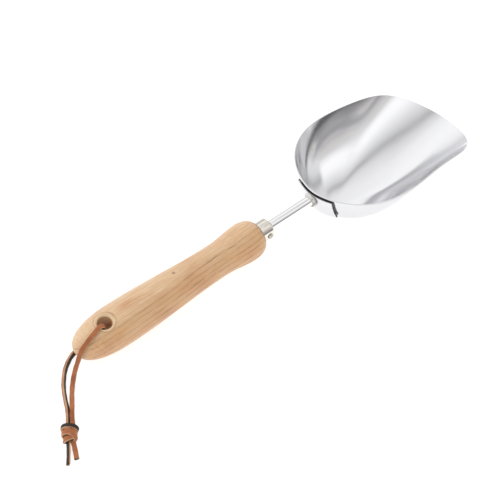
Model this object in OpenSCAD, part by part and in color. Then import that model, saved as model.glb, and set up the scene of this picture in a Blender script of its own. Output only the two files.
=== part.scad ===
// Hand transplanter: a pressed steel scoop on a round stem, with a turned ash
// handle, a plated ferrule and a leather hanging thong.
//
// It lies at rest on a surface: +Z is up, +X runs from the butt of the handle to
// the lip of the scoop, and the tool is symmetric about Y = 0 but for its hanging
// hole and thong. The origin is on the surface, midway between butt and lip.
// Most pieces are drawn in the tool's own frame, whose X axis is the stem's axis
// and whose origin is where the stem meets the saddle, and rest() lays them down.

/* [Blade] */
// Length of the scoop from the back rim to the lip
blade_l = 134; // [115:0.5:165]
// Width of the scoop across its side rims at mid length
blade_w = 96; // [80:1:120]
// Thickness of the pressed sheet
blade_t = 1.2; // [0.9:0.1:1.6]
// Height of the back rim over the stem's axis
back_rim_h = 5.6; // [4:0.1:9]
// Depth of the floor under the stem's axis, at the heel
heel_d = 21.8; // [18:0.2:26]
// Depth of the lip under the stem's axis
lip_d = 1.7; // [0:0.1:4]
// Rise of the side rims over a straight line from back rim to lip, at mid length
rim_arch = 10.8; // [6:0.1:13]
// Slope of the floor where it reaches the lip, in degrees
lip_slope = 15.3; // [12:0.1:17]

/* [Saddle] */
// Half of the saddle plate's span around the back of the scoop, in degrees
saddle_a = 18; // [12:1:24]
// Thickness of the saddle plate
saddle_t = 2; // [1.5:0.1:3]
// Share of the scoop's radius at which the plate's lower edge sits
saddle_low = 0.8; // [0.76:0.01:0.88]

/* [Stem] */
// Diameter of the round stem
stem_d = 8; // [6:0.5:10]
// Length of stem between the saddle and the ferrule
stem_l = 39.5; // [30:0.5:60]
// Diameter of the tang, the turned-down end of the stem inside the handle
tang_d = 5.6; // [4:0.2:6]
// Length of the tang
tang_l = 72; // [50:1:90]
// Diameter of the weld bead around the foot of the stem
bead_d = 11.4; // [10.8:0.2:14]
// Length of the weld bead along the stem
bead_l = 2.6; // [2:0.1:4]

/* [Ferrule] */
// Outside diameter of the ferrule
ferrule_d = 15.4; // [13:0.2:18]
// Length of the ferrule
ferrule_l = 11; // [10:0.5:18]
// Thickness of the ferrule's metal
ferrule_t = 0.8; // [0.6:0.1:1.2]
// Diameter of the cross pin's shank
pin_d = 2.4; // [2:0.1:3]
// Diameter of the cross pin's riveted heads
pin_head_d = 4.2; // [3.6:0.1:5]
// Distance from the front of the ferrule to the cross pin
pin_x = 5; // [4:0.1:6]

/* [Handle] */
// Length of the handle from its butt to its front shoulder
handle_l = 155.5; // [130:0.5:190]
// Diameter of the handle at the swell near its butt
swell_d = 30; // [26:0.2:36]
// Distance from the butt to the swell
swell_x = 36; // [30:1:44]
// Diameter of the handle at its waist
waist_d = 24; // [21:0.2:28]
// Distance from the butt to the waist
waist_x = 120; // [95:1:122]
// Diameter of the handle at its front bulge
bulge_d = 28.4; // [25:0.2:34]
// Distance from the front shoulder back to the bulge
bulge_x = 10.5; // [7:0.5:14]
// Diameter of the flat front shoulder
shoulder_d = 17.6; // [17:0.2:24]

/* [Hanging hole] */
// Diameter of the hanging hole
hole_d = 10; // [8:0.5:11]
// Diameter of the countersink at each end of the hole
sink_d = 14.6; // [12:0.2:16]
// Distance from the butt to the hanging hole
hole_x = 23.3; // [18:0.1:26]
// Turn of the hanging hole about the handle's axis, in degrees
hole_turn = 11; // [0:1:20]

/* [Thong] */
// Diameter of the round tube that stands for the leather lace
lace_d = 3; // [2.4:0.1:3.4]

/* [Hidden] */
$fn = 64;

// Clearances
seat_gap = 0.3;
weld_gap = 0.1;
tang_gap = 0.2;
spigot_gap = 0.1;
spigot_chamfer = 1.6;
pin_gap = 0.05;

// Places along the stem's axis
heel_x = 4.3;
lip_x = heel_x + blade_l;
ferrule_front = -stem_l;
shoulder_x = ferrule_front - ferrule_l;
butt_x = shoulder_x - handle_l;
spigot_front = ferrule_front - ferrule_t - 0.6;

// ---- Scoop surface, by angle a around the rim (0 at the back, 180 at the lip)
// ---- and share r of the way out from the hub on the floor to the rim
hub_x = 26;
section_n = 2.7;
wall_back = 0.957;
wall_lip = 0.62;
trough = 0.00016;
rings = 14;
step_a = 5;
turns = 360 / step_a;
floor_bow = (lip_d - heel_d + tan(lip_slope) * blade_l) / pow(blade_l, 2);

function rim_t(a) = (1 - cos(a)) / 2;
function rim_x(a) = heel_x + blade_l * rim_t(a);
function fullness(c) = 1 + 0.14 * c + 0.47 * c * c - 0.32 * c * c * c;
function rim_y(a) = blade_w / 2 * sign(sin(a)) * pow(abs(sin(a)), 1.13) * fullness(cos(a));
function arch(t) = rim_arch * 4 * t * (1 - t) * (1 + 0.66 * t) / 1.33;
function rim_z(a) = let(t = rim_t(a)) (1 - t) * back_rim_h - t * lip_d + arch(t);
function floor_z(x, y) =
    let(d = lip_x - x) -lip_d - tan(lip_slope) * d + floor_bow * d * d + trough * y * y;
function bend(u) = 1 - pow(1 - pow(u, section_n), 1 / section_n);
function wall(a, r) =
    let(k = wall_back + (wall_lip - wall_back) * rim_t(a)) bend(k * r) / bend(k);
function skin(a, r) =
    let(x = hub_x + r * (rim_x(a) - hub_x), y = r * rim_y(a),
        rise = rim_z(a) - floor_z(rim_x(a), rim_y(a)))
    [x, y, floor_z(x, y) + wall(a, r) * rise];
function unit(v) = v / norm(v);
function skin_up(a, r) =
    let(s = max(r, 0.04))
    unit(cross(skin(a + 0.5, s) - skin(a - 0.5, s), skin(a, s + 0.001) - skin(a, s - 0.001)));
// A point on the scoop's outer side, d under its inner skin
function under(a, r, d) = skin(a, r) - d * skin_up(a, min(r, 0.998));
function ring_r(j) = 1 - pow(1 - j / rings, 1.6);

// Share of the radius at which a face d under the skin crosses the stem's axis
function axis_r(d, lo = 0.5, hi = 1, n = 18) =
    n == 0 ? (lo + hi) / 2 :
    let(m = (lo + hi) / 2) under(0, m, d)[2] < 0 ? axis_r(d, m, hi, n - 1) : axis_r(d, lo, m, n - 1);

saddle_in = blade_t + seat_gap;
saddle_out = saddle_in + saddle_t;
foot_r = axis_r(saddle_out);
foot = under(0, foot_r, saddle_out);
foot_lean = atan2(skin_up(0, foot_r)[2], skin_up(0, foot_r)[0]);

// ---- How the tool lies: the scoop's belly and the handle's swell touch down, the
// ---- swell on the thong, which runs out under the butt
butt_lift = 1;
belly = [for (r = [0:0.02:1]) under(0, r, blade_t)];
belly_z = min([for (p = belly) p[2]]);
belly_x = [for (p = belly) if (p[2] == belly_z) p[0]][0];
swell_at = butt_x + swell_x;
lie = atan((-belly_z - swell_d / 2 - butt_lift) / (belly_x - swell_at));
axis_h = -min([for (p = belly) p[0] * sin(lie) + p[2] * cos(lie)]);
mid_x = (lip_x + butt_x) / 2;
module rest() translate([-mid_x, 0, axis_h]) rotate([0, -lie, 0]) children();

// ---- Handle outline: radius at distance d from the butt
waist_l = waist_x - swell_x;
bulge_at = handle_l - bulge_x;
function butt_r(d) = swell_d / 2 * pow(1 - pow(1 - d / swell_x, 2.4), 1 / 2.4);
function ease(u) = (1 - cos(180 * u)) / 2;
function grip_r(d) =
    d < swell_x ? butt_r(d) :
    d < waist_x ? swell_d / 2 + (waist_d - swell_d) / 2 * ease((d - swell_x) / waist_l) :
    d < bulge_at ? waist_d / 2 + (bulge_d - waist_d) / 2 * ease((d - waist_x) / (bulge_at - waist_x)) :
    shoulder_d / 2 + (bulge_d - shoulder_d) / 2 * sqrt(max(0, 1 - pow((d - bulge_at) / bulge_x, 2)));
spigot_r = ferrule_d / 2 - ferrule_t - spigot_gap;
handle_outline = concat(
    [[0, 0]],
    [for (i = [1:12]) let(d = swell_x * pow(i / 14, 2)) [butt_r(d), d]],
    [for (i = [0:26]) let(d = swell_x * 0.86 + (bulge_at - swell_x * 0.86) * i / 26) [grip_r(d), d]],
    [for (i = [1:8]) let(d = bulge_at + bulge_x * sin(i * 90 / 8)) [grip_r(d), d]],
    [[spigot_r, handle_l], [spigot_r, spigot_front - butt_x - spigot_chamfer],
     [spigot_r - spigot_chamfer, spigot_front - butt_x], [0, spigot_front - butt_x]]);

// ---- Thong route, from the knot over the butt, down the hole and back below
loop_points = [
    [-203.2, -38, 2.2], [-199, -31.4, 1.8], [-193.6, -24, 1.7], [-188.2, -16.5, 1.8],
    [-182.8, -10.4, 3.4], [-178.2, -6.9, 7.2], [-175, -6, 12], [-172.6, -6, 17.2],
    [-170.3, -6.3, 21.5], [-166.8, -6.5, 24.8], [-162.8, -6.2, 27.4], [-158.4, -5.6, 29.1],
    [-154.6, -4.8, 30], [-151.4, -3.9, 27.5], [-150.2, -2.2, 21.5], [-149.6, -0.2, 15],
    [-149.7, 2.4, 7.8], [-150.2, 4.4, 3.7], [-151.6, 6.7, 1.9], [-154.6, 8.6, 1.7],
    [-159, 10, 1.7], [-164, 10.6, 1.7], [-169, 9.4, 1.7], [-174.6, 6.4, 1.7],
    [-181.4, 0.8, 1.7], [-189, -8.6, 1.7], [-194.2, -17.6, 1.7], [-198.8, -26.6, 1.8],
    [-204.6, -35.4, 2.2]];
knot_at = [-208.2, -43, 4.4];
knot_turn = 50.6;
knot_size = [14, 11, 8.4];
long_tail_points = [[-213.5, -47.6, 2.6], [-216.6, -51.9, 1.8], [-219.6, -55.9, 1.7], [-222.6, -59.9, 1.7]];
short_tail_points = [[-210.8, -49.2, 2.6], [-212.6, -53, 1.8], [-214.4, -56.5, 1.7], [-216.3, -60, 1.7]];

function spline(p, q, r, s, t) =
    0.5 * (2 * q + (r - p) * t + (2 * p - 5 * q + 4 * r - s) * t * t + (3 * q - p - 3 * r + s) * t * t * t);
function route(pts, n) = concat(
    [for (i = [0:len(pts) - 2], j = [0:n - 1])
        spline(pts[max(i - 1, 0)], pts[i], pts[i + 1], pts[min(i + 2, len(pts) - 1)], j / n)],
    [pts[len(pts) - 1]]);
function heading(p, i) = unit(p[min(i + 1, len(p) - 1)] - p[max(i - 1, 0)]);
function square_to(n, t) = unit(n - (n * t) * t);
function sides(p) = [for (i = 0, n = square_to([0.3, -0.4, 1], heading(p, 0)); i < len(p);
    i = i + 1, n = i < len(p) ? square_to(n, heading(p, i)) : n) n];

// A round tube of diameter d along the points of p
module tube(p, d) {
    k = 8;
    m = len(p);
    up = sides(p);
    rim = [for (i = [0:m - 1], s = [0:k - 1])
        p[i] + d / 2 * (cos(s * 360 / k) * up[i] + sin(s * 360 / k) * cross(heading(p, i), up[i]))];
    wall = [for (i = [0:m - 2], s = [0:k - 1]) let(a = i * k + s, b = i * k + (s + 1) % k)
        each [[a, b, a + k], [b, b + k, a + k]]];
    near_cap = [for (s = [1:k - 2]) [0, s + 1, s]];
    far_cap = [for (s = [1:k - 2]) let(o = (m - 1) * k) [o, o + s, o + s + 1]];
    polyhedron(rim, [for (f = concat(wall, near_cap, far_cap)) [f[0], f[2], f[1]]], convexity = 10);
}

// Pressed scoop: an inner and an outer skin, joined by the cut edge of the sheet
module scoop_blade() {
    count = 1 + rings * turns;
    inner = concat([skin(0, 0)],
        [for (j = [1:rings], i = [0:turns - 1]) skin(i * step_a, ring_r(j))]);
    outer = concat([under(0, 0, blade_t)],
        [for (j = [1:rings], i = [0:turns - 1]) under(i * step_a, ring_r(j), blade_t)]);
    function at(j, i) = 1 + (j - 1) * turns + i % turns;
    hub = [for (i = [0:turns - 1]) [0, at(1, i), at(1, i + 1)]];
    web = [for (j = [1:rings - 1], i = [0:turns - 1])
        each [[at(j, i), at(j + 1, i), at(j + 1, i + 1)], [at(j, i), at(j + 1, i + 1), at(j, i + 1)]]];
    top = concat(hub, web);
    edge = [for (i = [0:turns - 1]) let(a = at(rings, i), b = at(rings, i + 1))
        each [[a, a + count, b + count], [a, b + count, b]]];
    color("silver") rest() polyhedron(
        concat(inner, outer),
        concat(top, [for (f = top) [f[0] + count, f[2] + count, f[1] + count]], edge),
        convexity = 10);
}

// Curved plate that hugs the back wall and carries the stem
module saddle_plate() {
    across = 16;
    down = 6;
    row = down + 1;
    count = (across + 1) * row;
    function spot(i, j) =
        let(r = 1 - (1 - saddle_low) * j / down) [saddle_a * (2 * i / across - 1) / r, r];
    faces_at = [for (d = [saddle_in, saddle_out], i = [0:across], j = [0:down])
        let(s = spot(i, j)) under(s[0], s[1], d)];
    web = [for (i = [0:across - 1], j = [0:down - 1]) let(a = i * row + j, b = a + row)
        each [[a, b, b + 1], [a, b + 1, a + 1]]];
    ends = [for (j = [0:down - 1]) let(a = j, b = across * row + j)
        each [[a, a + 1, a + 1 + count], [a, a + 1 + count, a + count],
              [b, b + count, b + 1 + count], [b, b + 1 + count, b + 1]]];
    rims = [for (i = [0:across - 1]) let(a = i * row, b = a + row, c = a + down, d = b + down)
        each [[a, a + count, b + count], [a, b + count, b],
              [c, d, d + count], [c, d + count, c + count]]];
    color("lightgray") rest() polyhedron(
        faces_at,
        concat(web, [for (f = web) [f[0] + count, f[2] + count, f[1] + count]], ends, rims),
        convexity = 4);
}

// Everything on the handle's side of the saddle's outer face, gap clear of it
module behind_saddle(gap) {
    translate(foot) rotate([0, -foot_lean, 0]) translate([-100 - gap, -50, -50]) cube([100, 100, 100]);
}

// Round bar from the saddle to the ferrule, and the tang that it ends in
module stem() {
    color("gainsboro") rest() {
        intersection() {
            translate([spigot_front + 0.2, 0, 0]) rotate([0, 90, 0])
                cylinder(h = foot[0] - spigot_front + stem_d, d = stem_d);
            behind_saddle(seat_gap);
        }
        difference() {
            union() {
                translate([spigot_front + 0.2 - tang_l, 0, 0]) rotate([0, 90, 0])
                    cylinder(h = tang_l + 0.5, d = tang_d);
                translate([spigot_front + 0.2 - tang_l - 4, 0, 0]) rotate([0, 90, 0])
                    cylinder(h = 4, d1 = 2, d2 = tang_d);
            }
            translate([ferrule_front - pin_x, 0, 0]) rotate([90, 0, 0])
                cylinder(h = 40, d = pin_d + 2 * pin_gap, center = true);
        }
    }
}

// Fillet of weld metal around the foot of the stem
module stem_weld() {
    bore = stem_d / 2 + weld_gap;
    color("darkgray") rest() intersection() {
        translate([foot[0] - bead_l - 1, 0, 0]) rotate([0, 90, 0])
            rotate_extrude() polygon([
                [bore, 0], [bore + 0.4, 0], [bore + 0.6, bead_l * 0.45],
                [(bore + bead_d / 2) / 2, bead_l * 0.8], [bead_d / 2 - 0.3, bead_l],
                [bead_d / 2, bead_l + 0.6], [bead_d / 2, bead_l + 4], [bore, bead_l + 4]]);
        behind_saddle(weld_gap);
    }
}

// Pressed cap on the handle's spigot, rounded at its front
module ferrule() {
    r = ferrule_d / 2;
    round_r = 2;
    front = ferrule_l;
    color("silver") rest() translate([shoulder_x, 0, 0]) difference() {
        rotate([0, 90, 0]) rotate_extrude() polygon(concat(
            [[r - ferrule_t, seat_gap], [r, seat_gap]],
            [for (w = [0:15:90]) [r - round_r + round_r * cos(w), front - round_r + round_r * sin(w)]],
            [[stem_d / 2 + tang_gap, front], [stem_d / 2 + tang_gap, front - ferrule_t],
             [r - round_r, front - ferrule_t], [r - ferrule_t, front - round_r]]));
        translate([ferrule_l - pin_x, 0, 0]) rotate([90, 0, 0])
            cylinder(h = 40, d = pin_d + 2 * pin_gap, center = true);
    }
}

// Rivet through ferrule, spigot and tang, with a domed head at each end
module ferrule_pin() {
    head_y = ferrule_d / 2 + pin_gap;
    color("dimgray") rest() translate([ferrule_front - pin_x, 0, 0]) {
        rotate([90, 0, 0]) cylinder(h = 2 * head_y + 0.2, d = pin_d, center = true);
        for (s = [-90, 90]) rotate([s, 0, 0]) translate([0, 0, head_y]) rotate_extrude()
            polygon([[0, 0], [pin_head_d / 2, 0], [pin_head_d / 2, 0.3], [pin_head_d * 0.4, 0.65],
                     [pin_head_d * 0.22, 0.85], [0, 0.9]]);
    }
}

// Turned handle: one outline turned about the stem's axis, then bored
module handle() {
    bore_x = spigot_front - tang_l - 5;
    color("burlywood") rest() difference() {
        translate([butt_x, 0, 0]) rotate([0, 90, 0]) rotate_extrude($fn = 96) polygon(handle_outline);
        translate([bore_x, 0, 0]) rotate([0, 90, 0])
            cylinder(h = tang_l + 20, d = tang_d + 2 * tang_gap);
        translate([ferrule_front - pin_x, 0, 0]) rotate([90, 0, 0])
            cylinder(h = 40, d = pin_d + 2 * pin_gap, center = true);
        translate([butt_x + hole_x, 0, 0]) rotate([hole_turn, 0, 0]) hanging_hole();
    }
}

// The bore of the hanging hole with its two countersinks, along Z
module hanging_hole() {
    crest = grip_r(hole_x);
    deep = (sink_d - hole_d) / 2;
    cylinder(h = swell_d + 4, d = hole_d, center = true);
    for (s = [0, 180]) rotate([s, 0, 0]) translate([0, 0, crest - deep])
        cylinder(h = deep + 2, d1 = hole_d, d2 = sink_d + 4);
}

module thong_loop() {
    color("sienna") tube(route(loop_points, 2), lace_d);
}

module thong_knot() {
    color("sienna") translate(knot_at) rotate([0, 0, knot_turn]) resize(knot_size) sphere(d = 10, $fn = 24);
}

module thong_tail_long() {
    color("sienna") tube(route(long_tail_points, 2), lace_d);
}

module thong_tail_short() {
    color("sienna") tube(route(short_tail_points, 2), lace_d);
}

scoop_blade();
saddle_plate();
stem();
stem_weld();
ferrule();
ferrule_pin();
handle();
thong_loop();
thong_knot();
thong_tail_long();
thong_tail_short();
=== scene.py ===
# %% [markdown]
# A hand transplanter lies on a pale table. The real tool is a scoop pressed from
# polished stainless sheet, a saddle plate and a round stem welded to its back, and
# a turned ash handle with a plated ferrule, a rivet and a leather hanging thong.
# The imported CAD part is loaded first, because it fixes every place and size. Each
# piece below is then made as the real one is made: pressed, turned, cut or tied.

# %% Load the part
import math

import bmesh
import bpy
import numpy as np
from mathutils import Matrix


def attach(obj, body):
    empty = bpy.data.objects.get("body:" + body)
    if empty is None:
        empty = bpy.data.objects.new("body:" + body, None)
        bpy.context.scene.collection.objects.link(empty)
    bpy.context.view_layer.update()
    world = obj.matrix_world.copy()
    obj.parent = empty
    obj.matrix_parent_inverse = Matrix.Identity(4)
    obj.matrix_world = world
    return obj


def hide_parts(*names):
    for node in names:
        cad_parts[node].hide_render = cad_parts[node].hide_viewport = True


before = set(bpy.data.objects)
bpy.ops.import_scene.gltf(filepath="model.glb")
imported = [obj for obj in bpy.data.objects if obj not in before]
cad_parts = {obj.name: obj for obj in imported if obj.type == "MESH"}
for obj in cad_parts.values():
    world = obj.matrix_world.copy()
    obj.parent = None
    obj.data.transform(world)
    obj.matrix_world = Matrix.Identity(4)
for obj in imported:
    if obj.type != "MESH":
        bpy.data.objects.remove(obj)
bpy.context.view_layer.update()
MM = 0.001
print("pieces in the part:", sorted(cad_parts))

# %% [markdown]
# The stem's axis is the line that everything was made around, so most shapes are
# drawn in the tool's own frame: X along the stem, with its origin where the stem
# meets the saddle. One function lays them down on the table, tipped a little
# because the scoop is deeper than the handle is thick.

# %% The tool's own frame
LIE = math.radians(1.808)
AXIS_HEIGHT = 21.375
MIDDLE_X = -33.85
STEM_LENGTH = 39.5
FERRULE_LENGTH = 11.0
HANDLE_LENGTH = 155.5
SHOULDER_X = -STEM_LENGTH - FERRULE_LENGTH
BUTT_X = SHOULDER_X - HANDLE_LENGTH


def laid_down(points):
    """Millimetres in the tool's frame to metres on the table."""
    p = np.asarray(points, float)
    x, y, z = p[..., 0], p[..., 1], p[..., 2]
    c, s = math.cos(LIE), math.sin(LIE)
    return np.stack([x * c - z * s - MIDDLE_X, y, x * s + z * c + AXIS_HEIGHT], -1) * MM


# %% [markdown]
# The camera looks down over the butt of the handle, a little to the near side,
# through a long lens, as a catalogue picture is taken. It is made first; the lace's
# route was measured against what it sees.

# %% Camera
camera = bpy.data.objects.new("camera", bpy.data.cameras.new("camera"))
bpy.context.scene.collection.objects.link(camera)
camera.location = (-0.45236, -0.48286, 0.64219)
camera.rotation_euler = (math.radians(90 - 44.417), 0, math.radians(-41.657))
camera.data.lens = 93.6
camera.data.sensor_width = 36
camera.data.clip_start, camera.data.clip_end = 0.01, 50
bpy.context.scene.camera = camera
print("camera stands", round(camera.location.length, 3), "m from the tool's middle")

# %% [markdown]
# A few small tools are used by every piece. They join a grid of points with faces,
# sweep an outline round the tool's axis, and make a finished piece of the result,
# closed and facing outwards. Numpy does the sums, because a pressed or turned
# surface follows a rule at every point.

# %% Mesh helpers
WELD_GAP = 0.03 * MM


def face_outwards(mesh, weld):
    """Closes seams and poles if asked, and turns an inside-out closed mesh round."""
    form = bmesh.new()
    form.from_mesh(mesh)
    if weld:
        bmesh.ops.remove_doubles(form, verts=form.verts, dist=WELD_GAP)
    if form.calc_volume(signed=True) < 0:
        bmesh.ops.reverse_faces(form, faces=form.faces)
    form.to_mesh(mesh)
    form.free()


def make_piece(name, points, faces, material, cad_nodes, weld=False):
    """A finished piece from points in metres, which stands for its CAD nodes."""
    mesh = bpy.data.meshes.new(name)
    mesh.from_pydata([tuple(p) for p in points], [], faces)
    mesh.validate()
    face_outwards(mesh, weld)
    mesh.shade_smooth()
    piece = bpy.data.objects.new(name, mesh)
    bpy.context.scene.collection.objects.link(piece)
    mesh.materials.append(material)
    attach(piece, "root")
    if cad_nodes:
        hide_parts(*cad_nodes)
    print(name, "has", len(mesh.vertices), "points")
    return piece


def grid_faces(rows, columns, start=0, closed=True, flip=False):
    """Four-sided faces between rows of points, each row a ring or a strip."""
    faces = []
    last = columns if closed else columns - 1
    for i in range(rows - 1):
        for j in range(last):
            k = (j + 1) % columns
            f = (start + i * columns + j, start + i * columns + k,
                 start + (i + 1) * columns + k, start + (i + 1) * columns + j)
            faces.append(f[::-1] if flip else f)
    return faces


def turned(profile, segments, end_cut=None):
    """Points and faces of a piece turned about X: profile is (x, radius) pairs."""
    rings = []
    for x, radius in profile:
        a = np.arange(segments) * 2 * math.pi / segments
        ring = np.stack([np.full(segments, float(x)), radius * np.sin(a), radius * np.cos(a)], -1)
        rings.append(end_cut(ring) if end_cut else ring)
    points = np.concatenate(rings)
    faces = grid_faces(len(profile), segments)
    return points, faces


# %% [markdown]
# A shader is a small graph of nodes. One helper adds a node with its settings and
# links, whatever its kind, and colours are written as the hex values that a maker
# would read off a swatch, then turned to the linear light that the renderer adds
# up. The kinds that come up most have short names.

# %% Shader helpers
MATH = "ShaderNodeMath"
VECTOR_MATH = "ShaderNodeVectorMath"
MAP = "ShaderNodeMapRange"
NOISE = "ShaderNodeTexNoise"
RAMP = "ShaderNodeValToRGB"
MIX = "ShaderNodeMix"
BUMP = "ShaderNodeBump"


def linear(hex_colour):
    """#rrggbb in sRGB to linear RGBA."""
    parts = [int(hex_colour[i:i + 2], 16) / 255 for i in (1, 3, 5)]
    return tuple(c / 12.92 if c < 0.04045 else ((c + 0.055) / 1.055) ** 2.4 for c in parts) + (1,)


def connect(tree, node, inputs):
    """Fills a node's inputs: another node or a socket is linked, anything else is a value."""
    for key, value in inputs.items():
        if isinstance(value, bpy.types.Node):
            value = next(out for out in value.outputs if out.enabled)
        if isinstance(value, bpy.types.NodeSocket):
            tree.links.new(value, node.inputs[key])
        else:
            node.inputs[key].default_value = value


def add(tree, kind, inputs=(), stops=(), **settings):
    """One node with its settings, its inputs by name or in order, and a ramp's colour stops."""
    node = tree.nodes.new(kind)
    for key, value in settings.items():
        setattr(node, key, value)
    connect(tree, node, inputs if isinstance(inputs, dict) else dict(enumerate(inputs)))
    for _ in stops[2:]:
        node.color_ramp.elements.new(0.5)
    if stops:
        for element, (position, colour) in zip(node.color_ramp.elements, stops):
            element.position = position
            element.color = linear(colour)
    return node


def new_material(name):
    """A material with one Principled shader; returns it, its tree and the shader."""
    material = bpy.data.materials.new(name)
    material.use_nodes = True
    tree = material.node_tree
    tree.nodes.clear()
    shader = add(tree, "ShaderNodeBsdfPrincipled")
    add(tree, "ShaderNodeOutputMaterial", {"Surface": shader})
    return material, tree, shader


def object_mm(tree, stretch=(1, 1, 1), turn=(0, 0, 0)):
    """Object coordinates in millimetres, divided by stretch along each axis."""
    place = add(tree, "ShaderNodeTexCoord").outputs["Object"]
    scale = tuple(1000 / along for along in stretch)
    return add(tree, "ShaderNodeMapping", {"Vector": place, "Scale": scale, "Rotation": turn})


print("shader node kinds with short names:", MATH, VECTOR_MATH, MAP, NOISE, RAMP, MIX, BUMP)

# %% [markdown]
# The lace is cut from a hide about 2 mm thick, in a strip about 3 mm wide. Its
# grain side is dyed orange-brown, its other broad face is coloured nearly black
# and its cut edges are pale. The side is told from the piece's own UV map, which
# runs round the strip, and the fine pores from noise a few tenths of a millimetre wide.

# %% Leather lace


def leather_lace():
    material, tree, shader = new_material("dyed_leather_lace")
    round_map = add(tree, "ShaderNodeUVMap", uv_map="round")
    around = add(tree, "ShaderNodeSeparateXYZ", {"Vector": round_map}).outputs["X"]
    pores = add(tree, NOISE, {"Vector": object_mm(tree), "Scale": 2.2, "Detail": 4.0, "Roughness": 0.6})
    cloud = add(tree, NOISE, {"Vector": object_mm(tree, (7, 7, 7)), "Scale": 1.0, "Detail": 2.0})
    wander = add(tree, MAP, (pores, 0.3, 0.7, -0.012, 0.012))
    side = add(tree, MATH, (around, wander), operation="ADD")
    sides = add(tree, RAMP, (side,), stops=[
        (0.0, "#bf7549"), (0.335, "#c07a50"), (0.375, "#d8b592"), (0.47, "#caa27c"), (0.51, "#3a2c26"),
        (0.84, "#33271f"), (0.88, "#c79f79"), (0.965, "#d9b48f"), (0.985, "#bd7349")])
    shade = add(tree, RAMP, (cloud,), stops=[(0.3, "#c4b4ac"), (0.7, "#ffffff")])
    colour = add(tree, MIX, {"Factor": 0.8, 6: sides, 7: shade}, data_type="RGBA", blend_type="MULTIPLY")
    connect(tree, shader, {
        "Base Color": colour,
        "Roughness": add(tree, MAP, (pores, 0.35, 0.65, 0.5, 0.72)),
        "Specular IOR Level": 0.35,
        "Normal": add(tree, BUMP, {"Height": pores, "Strength": 0.5, "Distance": 0.25 * MM})})
    return material


LEATHER = leather_lace()
print("leather sides read the UV map called round")

# %% [markdown]
# The thong is tied from one lace. It leaves the knot, lies on the table, climbs
# over the butt, drops through the hanging hole and comes back below the butt with
# its flesh side up. The route is the same one that the CAD tube follows, and the
# flat section is carried along it without twisting, then rolled a little where the
# real lace leans on its edge.

# %% Route of the lace (millimetres, on the table)
LOOP = [
    (-203.2, -38, 2.2), (-199, -31.4, 1.8), (-193.6, -24, 1.7), (-188.2, -16.5, 1.8),
    (-182.8, -10.4, 3.4), (-178.2, -6.9, 7.2), (-175, -6, 12), (-172.6, -6, 17.2),
    (-170.3, -6.3, 21.5), (-166.8, -6.5, 24.8), (-162.8, -6.2, 27.4), (-158.4, -5.6, 29.1),
    (-154.6, -4.8, 30), (-151.4, -3.9, 27.5), (-150.2, -2.2, 21.5), (-149.6, -0.2, 15),
    (-149.7, 2.4, 7.8), (-150.2, 4.4, 3.7), (-151.6, 6.7, 1.9), (-154.6, 8.6, 1.7),
    (-159, 10, 1.7), (-164, 10.6, 1.7), (-169, 9.4, 1.7), (-174.6, 6.4, 1.7),
    (-181.4, 0.8, 1.7), (-189, -8.6, 1.7), (-194.2, -17.6, 1.7), (-198.8, -26.6, 1.8),
    (-204.6, -35.4, 2.2)]
LONG_TAIL = [(-211.5, -45.4, 3.4), (-213.5, -47.6, 2.6), (-216.6, -51.9, 1.8), (-219.6, -55.9, 1.7),
             (-222.4, -59.6, 1.7)]
SHORT_TAIL = [(-209.6, -46.6, 3.4), (-210.8, -49.2, 2.6), (-212.6, -53, 1.8), (-214.4, -56.5, 1.7),
              (-216.1, -59.7, 1.7)]
LACE_WIDTH = 3.1
LACE_THICK = 2.0


def smooth_route(points, step=0.5):
    """A Catmull-Rom curve through the points, with one point every step mm."""
    p = np.array(points, float)
    p = np.vstack([2 * p[0] - p[1], p, 2 * p[-1] - p[-2]])
    out = []
    for i in range(1, len(p) - 2):
        for t in np.linspace(0, 1, 24, endpoint=False):
            a, b, c, d = p[i - 1], p[i], p[i + 1], p[i + 2]
            out.append(0.5 * (2 * b + (c - a) * t + (2 * a - 5 * b + 4 * c - d) * t ** 2
                              + (3 * b - a - 3 * c + d) * t ** 3))
    out = np.array(out + [p[-2]])
    along = np.r_[0, np.cumsum(np.linalg.norm(np.diff(out, axis=0), axis=1))]
    even = np.linspace(0, along[-1], max(8, int(along[-1] / step)))
    return np.stack([np.interp(even, along, out[:, k]) for k in range(3)], -1), even


CORNER = 0.45


def lace_section(half_w, half_t):
    """The lace's cross-section: a rectangle with rounded corners, starting on its top."""
    x, y = half_w - CORNER, half_t - CORNER
    section = []
    for (cx, cy), start in (((x, y), 0), ((-x, y), 90), ((-x, -y), 180), ((x, -y), 270)):
        for turn in (0, 30, 60, 90):
            a = math.radians(start + turn)
            section.append((cx + CORNER * math.cos(a), cy + CORNER * math.sin(a)))
    return section[3:] + section[:3]


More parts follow.
